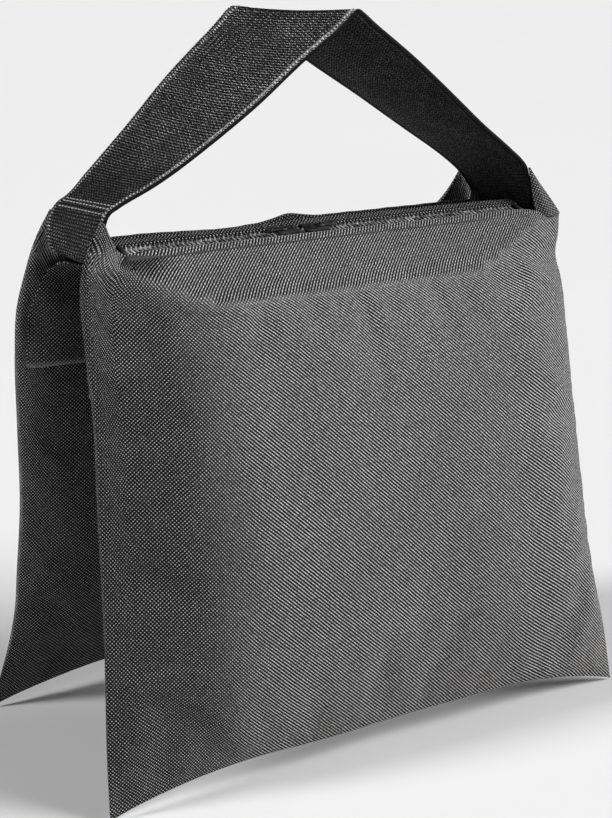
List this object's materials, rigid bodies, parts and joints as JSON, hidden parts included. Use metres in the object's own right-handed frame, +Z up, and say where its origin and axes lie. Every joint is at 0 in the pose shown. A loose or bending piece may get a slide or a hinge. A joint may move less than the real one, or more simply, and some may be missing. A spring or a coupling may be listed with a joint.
{
  "type": "saddle sandbag",
  "caption": "Saddlebag-style weight bag: two zipped cloth pouches joined by a bridge and a webbing handle, standing as an inverted V.",
  "frame": {"origin": "on the floor, under the middle of the bag", "axes": "+X along the bag and its zips, +Y from the front pouch to the rear pouch, +Z up"},
  "size_m": [0.287, 0.1594, 0.3395],
  "materials": {
    "body_cloth": "dark grey coated polyester, plain basket weave",
    "webbing": "black ribbed polypropylene webbing",
    "zip_tape": "woven zip tape",
    "zip_coil": "nylon coil",
    "zip_metal": "black enamelled die-cast",
    "thread": "black bonded thread",
    "liner_film": "grey coated liner film",
    "hook_strip": "hook-and-loop strip",
    "sand": "loose dry sand"
  },
  "bodies": {
    "saddle": {"saddle_webbing": "webbing", "bridge_panel": "body_cloth", "left_crease_stitch": "thread", "right_crease_stitch": "thread", "front_left_corner": "body_cloth", "front_right_corner": "body_cloth", "front_inner_strip": "body_cloth", "front_zip_outer_tape": "zip_tape", "front_zip_inner_tape": "zip_tape", "front_zip_outer_hem": "body_cloth", "front_zip_inner_hem": "body_cloth", "front_zip_outer_coil": "zip_coil", "front_zip_inner_coil": "zip_coil", "front_zip_left_stop": "zip_metal", "front_zip_right_stop": "zip_metal", "rear_left_corner": "body_cloth", "rear_right_corner": "body_cloth", "rear_inner_strip": "body_cloth", "rear_zip_outer_tape": "zip_tape", "rear_zip_inner_tape": "zip_tape", "rear_zip_outer_hem": "body_cloth", "rear_zip_inner_hem": "body_cloth", "rear_zip_outer_coil": "zip_coil", "rear_zip_inner_coil": "zip_coil", "rear_zip_left_stop": "zip_metal", "rear_zip_right_stop": "zip_metal"},
    "handle": {"handle_webbing": "webbing"},
    "front_pouch": {"front_outer_panel": "body_cloth", "front_inner_panel": "body_cloth", "front_bridge_flap": "body_cloth", "front_flap_upper_stitch": "thread", "front_flap_lower_stitch": "thread", "front_liner_bag": "liner_film", "front_liner_seal": "hook_strip", "front_sand_fill": "sand"},
    "front_left_slider": {"front_left_slider": "zip_metal"},
    "front_left_pull_tab": {"front_left_pull_tab": "zip_metal"},
    "front_right_slider": {"front_right_slider": "zip_metal"},
    "front_right_pull_tab": {"front_right_pull_tab": "zip_metal"},
    "rear_pouch": {"rear_outer_panel": "body_cloth", "rear_inner_panel": "body_cloth", "rear_bridge_flap": "body_cloth", "rear_flap_upper_stitch": "thread", "rear_flap_lower_stitch": "thread", "rear_liner_bag": "liner_film", "rear_liner_seal": "hook_strip", "rear_sand_fill": "sand"},
    "rear_left_slider": {"rear_left_slider": "zip_metal"},
    "rear_left_pull_tab": {"rear_left_pull_tab": "zip_metal"},
    "rear_right_slider": {"rear_right_slider": "zip_metal"},
    "rear_right_pull_tab": {"rear_right_pull_tab": "zip_metal"}
  },
  "joints": [
    {"name": "front_pouch_swing", "type": "hinge", "parent": "saddle", "child": "front_pouch", "pos_m": [0, -0.03, 0.2382], "axis": [-1, 0, 0], "range_deg": [-12, 55]},
    {"name": "rear_pouch_swing", "type": "hinge", "parent": "saddle", "child": "rear_pouch", "pos_m": [0, 0.03, 0.2382], "axis": [1, 0, 0], "range_deg": [-12, 55]},
    {"name": "handle_swing", "type": "hinge", "parent": "saddle", "child": "handle", "pos_m": [0, 0, 0.262], "axis": [-1, 0, 0], "range_deg": [-40, 40]},
    {"name": "front_left_slider_slide", "type": "slide", "parent": "saddle", "child": "front_left_slider", "axis": [-1, 0, 0], "range_m": [0, 0.0755]},
    {"name": "front_right_slider_slide", "type": "slide", "parent": "saddle", "child": "front_right_slider", "axis": [1, 0, 0], "range_m": [0, 0.1095]},
    {"name": "rear_right_slider_slide", "type": "slide", "parent": "saddle", "child": "rear_right_slider", "axis": [1, 0, 0], "range_m": [0, 0.0755]},
    {"name": "rear_left_slider_slide", "type": "slide", "parent": "saddle", "child": "rear_left_slider", "axis": [-1, 0, 0], "range_m": [0, 0.1095]},
    {"name": "front_left_pull_tab_hinge", "type": "hinge", "parent": "front_left_slider", "child": "front_left_pull_tab", "pos_m": [-0.0245, -0.02547, 0.24512], "axis": [0, 0.9659, 0.2588], "range_deg": [0, 100]},
    {"name": "front_right_pull_tab_hinge", "type": "hinge", "parent": "front_right_slider", "child": "front_right_pull_tab", "pos_m": [-0.0095, -0.02547, 0.24512], "axis": [0, -0.9659, -0.2588], "range_deg": [0, 100]},
    {"name": "rear_right_pull_tab_hinge", "type": "hinge", "parent": "rear_right_slider", "child": "rear_right_pull_tab", "pos_m": [0.0245, 0.02547, 0.24512], "axis": [0, 0.9659, -0.2588], "range_deg": [-100, 0]},
    {"name": "rear_left_pull_tab_hinge", "type": "hinge", "parent": "rear_left_slider", "child": "rear_left_pull_tab", "pos_m": [0.0095, 0.02547, 0.24512], "axis": [0, -0.9659, 0.2588], "range_deg": [-100, 0]}
  ]
}
